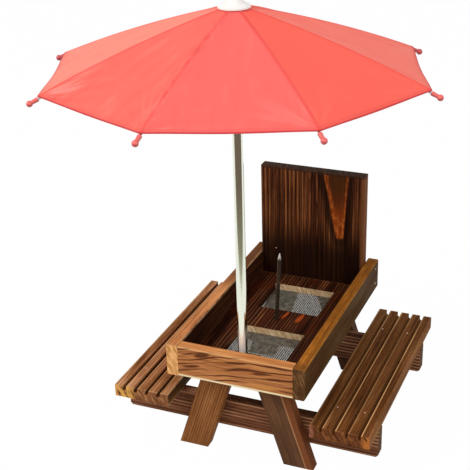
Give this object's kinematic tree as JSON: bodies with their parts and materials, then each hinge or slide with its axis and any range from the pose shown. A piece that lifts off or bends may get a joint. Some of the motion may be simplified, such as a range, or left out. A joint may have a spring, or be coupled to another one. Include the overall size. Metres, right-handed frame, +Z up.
{
  "type": "squirrel feeder table",
  "caption": "Small wooden picnic table with a walled nut tray, a corn spike, slotted benches, a tall back board and a cloth parasol that folds on a sliding runner and lifts out.",
  "frame": {"origin": "on the ground, in the middle of the outline seen from above", "axes": "+Z up, the table's front faces -Y, +X to the right as seen from the front"},
  "size_m": [0.307, 0.3436, 0.3986],
  "materials": {
    "rail_wood": "satin stain",
    "honey_wood": "satin stain",
    "dark_wood": "satin stain",
    "bench_wood": "satin stain",
    "beam_wood": "satin stain",
    "leg_wood": "satin stain",
    "net_wire": "galvanised wire",
    "nail_steel": "dull",
    "pole_chrome": "polished",
    "white_plastic": "moulded",
    "rib_steel": "bright wire",
    "tip_plastic": "moulded",
    "cloth": "plain weave"
  },
  "bodies": {
    "table": {"side_rail_left": "rail_wood", "side_rail_right": "rail_wood", "front_rail": "honey_wood", "back_board": "dark_wood", "floor_board": "dark_wood", "window_net": "net_wire", "corn_spike": "nail_steel", "pole_block": "dark_wood", "bench_left": "bench_wood", "bench_right": "bench_wood", "front_beam": "beam_wood", "rear_beam": "beam_wood", "front_leg_left": "leg_wood", "front_leg_right": "leg_wood", "rear_leg_left": "leg_wood", "rear_leg_right": "leg_wood"},
    "umbrella_pole": {"pole": "pole_chrome", "crown": "white_plastic", "top_cap": "white_plastic"},
    "arm_1": {"rib_1": "rib_steel", "tip_1": "tip_plastic"},
    "strut_1": {"stretcher_1": "rib_steel"},
    "flap_1_left": {"canopy_1_left": "cloth"},
    "flap_1_right": {"canopy_1_right": "cloth"},
    "arm_2": {"rib_2": "rib_steel", "tip_2": "tip_plastic"},
    "strut_2": {"stretcher_2": "rib_steel"},
    "flap_2_left": {"canopy_2_left": "cloth"},
    "flap_2_right": {"canopy_2_right": "cloth"},
    "arm_3": {"rib_3": "rib_steel", "tip_3": "tip_plastic"},
    "strut_3": {"stretcher_3": "rib_steel"},
    "flap_3_left": {"canopy_3_left": "cloth"},
    "flap_3_right": {"canopy_3_right": "cloth"},
    "arm_4": {"rib_4": "rib_steel", "tip_4": "tip_plastic"},
    "strut_4": {"stretcher_4": "rib_steel"},
    "flap_4_left": {"canopy_4_left": "cloth"},
    "flap_4_right": {"canopy_4_right": "cloth"},
    "arm_5": {"rib_5": "rib_steel", "tip_5": "tip_plastic"},
    "strut_5": {"stretcher_5": "rib_steel"},
    "flap_5_left": {"canopy_5_left": "cloth"},
    "flap_5_right": {"canopy_5_right": "cloth"},
    "arm_6": {"rib_6": "rib_steel", "tip_6": "tip_plastic"},
    "strut_6": {"stretcher_6": "rib_steel"},
    "flap_6_left": {"canopy_6_left": "cloth"},
    "flap_6_right": {"canopy_6_right": "cloth"},
    "arm_7": {"rib_7": "rib_steel", "tip_7": "tip_plastic"},
    "strut_7": {"stretcher_7": "rib_steel"},
    "flap_7_left": {"canopy_7_left": "cloth"},
    "flap_7_right": {"canopy_7_right": "cloth"},
    "arm_8": {"rib_8": "rib_steel", "tip_8": "tip_plastic"},
    "strut_8": {"stretcher_8": "rib_steel"},
    "flap_8_left": {"canopy_8_left": "cloth"},
    "flap_8_right": {"canopy_8_right": "cloth"},
    "sleeve": {"runner": "white_plastic"}
  },
  "joints": [
    {"name": "umbrella_lift", "type": "slide", "parent": "table", "child": "umbrella_pole", "axis": [0, 0, 1], "range_m": [0, 0.045]},
    {"name": "umbrella_fold", "type": "hinge", "parent": "umbrella_pole", "child": "arm_1", "pos_m": [0.0065, -0.01843, 0.382], "axis": [0.0297, 0.9996, 0], "range_deg": [0, 67]},
    {"name": "rib_hinge_2", "type": "hinge", "parent": "umbrella_pole", "child": "arm_2", "pos_m": [0.00473, -0.01378, 0.382], "axis": [-0.6858, 0.7278, 0], "range_deg": [0, 67]},
    {"name": "rib_hinge_3", "type": "hinge", "parent": "umbrella_pole", "child": "arm_3", "pos_m": [0.00019, -0.01174, 0.382], "axis": [-0.9996, 0.0297, 0], "range_deg": [0, 67]},
    {"name": "rib_hinge_4", "type": "hinge", "parent": "umbrella_pole", "child": "arm_4", "pos_m": [-0.00446, -0.01351, 0.382], "axis": [-0.7278, -0.6858, 0], "range_deg": [0, 67]},
    {"name": "rib_hinge_5", "type": "hinge", "parent": "umbrella_pole", "child": "arm_5", "pos_m": [-0.0065, -0.01805, 0.382], "axis": [-0.0297, -0.9996, 0], "range_deg": [0, 67]},
    {"name": "rib_hinge_6", "type": "hinge", "parent": "umbrella_pole", "child": "arm_6", "pos_m": [-0.00473, -0.0227, 0.382], "axis": [0.6858, -0.7278, 0], "range_deg": [0, 67]},
    {"name": "rib_hinge_7", "type": "hinge", "parent": "umbrella_pole", "child": "arm_7", "pos_m": [-0.00019, -0.02474, 0.382], "axis": [0.9996, -0.0297, 0], "range_deg": [0, 67]},
    {"name": "rib_hinge_8", "type": "hinge", "parent": "umbrella_pole", "child": "arm_8", "pos_m": [0.00446, -0.02297, 0.382], "axis": [0.7278, 0.6858, 0], "range_deg": [0, 67]},
    {"name": "stretcher_hinge_1", "type": "hinge", "parent": "arm_1", "child": "strut_1", "pos_m": [0.06603, -0.0202, 0.36467], "axis": [0.0297, 0.9996, 0], "range_deg": [-134, 0]},
    {"name": "stretcher_hinge_2", "type": "hinge", "parent": "arm_2", "child": "strut_2", "pos_m": [0.04808, 0.02707, 0.36467], "axis": [-0.6858, 0.7278, 0], "range_deg": [-134, 0]},
    {"name": "stretcher_hinge_3", "type": "hinge", "parent": "arm_3", "child": "strut_3", "pos_m": [0.00196, 0.04779, 0.36467], "axis": [-0.9996, 0.0297, 0], "range_deg": [-134, 0]},
    {"name": "stretcher_hinge_4", "type": "hinge", "parent": "arm_4", "child": "strut_4", "pos_m": [-0.0453, 0.02984, 0.36467], "axis": [-0.7278, -0.6858, 0], "range_deg": [-134, 0]},
    {"name": "stretcher_hinge_5", "type": "hinge", "parent": "arm_5", "child": "strut_5", "pos_m": [-0.06603, -0.01628, 0.36467], "axis": [-0.0297, -0.9996, 0], "range_deg": [-134, 0]},
    {"name": "stretcher_hinge_6", "type": "hinge", "parent": "arm_6", "child": "strut_6", "pos_m": [-0.04808, -0.06354, 0.36467], "axis": [0.6858, -0.7278, 0], "range_deg": [-134, 0]},
    {"name": "stretcher_hinge_7", "type": "hinge", "parent": "arm_7", "child": "strut_7", "pos_m": [-0.00196, -0.08427, 0.36467], "axis": [0.9996, -0.0297, 0], "range_deg": [-134, 0]},
    {"name": "stretcher_hinge_8", "type": "hinge", "parent": "arm_8", "child": "strut_8", "pos_m": [0.0453, -0.06631, 0.36467], "axis": [0.7278, 0.6858, 0], "range_deg": [-134, 0]},
    {"name": "runner_hinge", "type": "hinge", "parent": "strut_1", "child": "sleeve", "pos_m": [0.0065, -0.01843, 0.34734], "axis": [0.0297, 0.9996, 0], "range_deg": [0, 67]},
    {"name": "fold_1_left", "type": "hinge", "parent": "arm_1", "child": "flap_1_left", "pos_m": [0.00548, -0.0184, 0.38727], "axis": [0.9474, -0.0281, -0.319], "range_deg": [0, 68.2], "deforming": ["canopy_1_left"]},
    {"name": "fold_1_right", "type": "hinge", "parent": "arm_1", "child": "flap_1_right", "pos_m": [0.00548, -0.0184, 0.38727], "axis": [0.9474, -0.0281, -0.319], "range_deg": [-68.2, 0], "deforming": ["canopy_1_right"]},
    {"name": "fold_2_left", "type": "hinge", "parent": "arm_2", "child": "flap_2_left", "pos_m": [0.00399, -0.01448, 0.38727], "axis": [0.6898, 0.65, -0.319], "range_deg": [0, 68.2], "deforming": ["canopy_2_left"]},
    {"name": "fold_2_right", "type": "hinge", "parent": "arm_2", "child": "flap_2_right", "pos_m": [0.00399, -0.01448, 0.38727], "axis": [0.6898, 0.65, -0.319], "range_deg": [-68.2, 0], "deforming": ["canopy_2_right"]},
    {"name": "fold_3_left", "type": "hinge", "parent": "arm_3", "child": "flap_3_left", "pos_m": [0.00016, -0.01276, 0.38727], "axis": [0.0281, 0.9474, -0.319], "range_deg": [0, 68.2], "deforming": ["canopy_3_left"]},
    {"name": "fold_3_right", "type": "hinge", "parent": "arm_3", "child": "flap_3_right", "pos_m": [0.00016, -0.01276, 0.38727], "axis": [0.0281, 0.9474, -0.319], "range_deg": [-68.2, 0], "deforming": ["canopy_3_right"]},
    {"name": "fold_4_left", "type": "hinge", "parent": "arm_4", "child": "flap_4_left", "pos_m": [-0.00376, -0.01425, 0.38727], "axis": [-0.65, 0.6898, -0.319], "range_deg": [0, 68.2], "deforming": ["canopy_4_left"]},
    {"name": "fold_4_right", "type": "hinge", "parent": "arm_4", "child": "flap_4_right", "pos_m": [-0.00376, -0.01425, 0.38727], "axis": [-0.65, 0.6898, -0.319], "range_deg": [-68.2, 0], "deforming": ["canopy_4_right"]},
    {"name": "fold_5_left", "type": "hinge", "parent": "arm_5", "child": "flap_5_left", "pos_m": [-0.00548, -0.01808, 0.38727], "axis": [-0.9474, 0.0281, -0.319], "range_deg": [0, 68.2], "deforming": ["canopy_5_left"]},
    {"name": "fold_5_right", "type": "hinge", "parent": "arm_5", "child": "flap_5_right", "pos_m": [-0.00548, -0.01808, 0.38727], "axis": [-0.9474, 0.0281, -0.319], "range_deg": [-68.2, 0], "deforming": ["canopy_5_right"]},
    {"name": "fold_6_left", "type": "hinge", "parent": "arm_6", "child": "flap_6_left", "pos_m": [-0.00399, -0.022, 0.38727], "axis": [-0.6898, -0.65, -0.319], "range_deg": [0, 68.2], "deforming": ["canopy_6_left"]},
    {"name": "fold_6_right", "type": "hinge", "parent": "arm_6", "child": "flap_6_right", "pos_m": [-0.00399, -0.022, 0.38727], "axis": [-0.6898, -0.65, -0.319], "range_deg": [-68.2, 0], "deforming": ["canopy_6_right"]},
    {"name": "fold_7_left", "type": "hinge", "parent": "arm_7", "child": "flap_7_left", "pos_m": [-0.00016, -0.02372, 0.38727], "axis": [-0.0281, -0.9474, -0.319], "range_deg": [0, 68.2], "deforming": ["canopy_7_left"]},
    {"name": "fold_7_right", "type": "hinge", "parent": "arm_7", "child": "flap_7_right", "pos_m": [-0.00016, -0.02372, 0.38727], "axis": [-0.0281, -0.9474, -0.319], "range_deg": [-68.2, 0], "deforming": ["canopy_7_right"]},
    {"name": "fold_8_left", "type": "hinge", "parent": "arm_8", "child": "flap_8_left", "pos_m": [0.00376, -0.02223, 0.38727], "axis": [0.65, -0.6898, -0.319], "range_deg": [0, 68.2], "deforming": ["canopy_8_left"]},
    {"name": "fold_8_right", "type": "hinge", "parent": "arm_8", "child": "flap_8_right", "pos_m": [0.00376, -0.02223, 0.38727], "axis": [0.65, -0.6898, -0.319], "range_deg": [-68.2, 0], "deforming": ["canopy_8_right"]}
  ],
  "couplings": [
    {"joint": "rib_hinge_2", "follows": "umbrella_fold", "ratio": 1},
    {"joint": "rib_hinge_3", "follows": "umbrella_fold", "ratio": 1},
    {"joint": "rib_hinge_4", "follows": "umbrella_fold", "ratio": 1},
    {"joint": "rib_hinge_5", "follows": "umbrella_fold", "ratio": 1},
    {"joint": "rib_hinge_6", "follows": "umbrella_fold", "ratio": 1},
    {"joint": "rib_hinge_7", "follows": "umbrella_fold", "ratio": 1},
    {"joint": "rib_hinge_8", "follows": "umbrella_fold", "ratio": 1},
    {"joint": "stretcher_hinge_1", "follows": "umbrella_fold", "ratio": -2},
    {"joint": "stretcher_hinge_2", "follows": "umbrella_fold", "ratio": -2},
    {"joint": "stretcher_hinge_3", "follows": "umbrella_fold", "ratio": -2},
    {"joint": "stretcher_hinge_4", "follows": "umbrella_fold", "ratio": -2},
    {"joint": "stretcher_hinge_5", "follows": "umbrella_fold", "ratio": -2},
    {"joint": "stretcher_hinge_6", "follows": "umbrella_fold", "ratio": -2},
    {"joint": "stretcher_hinge_7", "follows": "umbrella_fold", "ratio": -2},
    {"joint": "stretcher_hinge_8", "follows": "umbrella_fold", "ratio": -2},
    {"joint": "runner_hinge", "follows": "umbrella_fold", "ratio": 1},
    {"joint": "fold_1_left", "follows": "umbrella_fold", "ratio": 1.016},
    {"joint": "fold_1_right", "follows": "umbrella_fold", "ratio": -1.016},
    {"joint": "fold_2_left", "follows": "umbrella_fold", "ratio": 1.016},
    {"joint": "fold_2_right", "follows": "umbrella_fold", "ratio": -1.016},
    {"joint": "fold_3_left", "follows": "umbrella_fold", "ratio": 1.016},
    {"joint": "fold_3_right", "follows": "umbrella_fold", "ratio": -1.016},
    {"joint": "fold_4_left", "follows": "umbrella_fold", "ratio": 1.016},
    {"joint": "fold_4_right", "follows": "umbrella_fold", "ratio": -1.016},
    {"joint": "fold_5_left", "follows": "umbrella_fold", "ratio": 1.016},
    {"joint": "fold_5_right", "follows": "umbrella_fold", "ratio": -1.016},
    {"joint": "fold_6_left", "follows": "umbrella_fold", "ratio": 1.016},
    {"joint": "fold_6_right", "follows": "umbrella_fold", "ratio": -1.016},
    {"joint": "fold_7_left", "follows": "umbrella_fold", "ratio": 1.016},
    {"joint": "fold_7_right", "follows": "umbrella_fold", "ratio": -1.016},
    {"joint": "fold_8_left", "follows": "umbrella_fold", "ratio": 1.016},
    {"joint": "fold_8_right", "follows": "umbrella_fold", "ratio": -1.016}
  ]
}
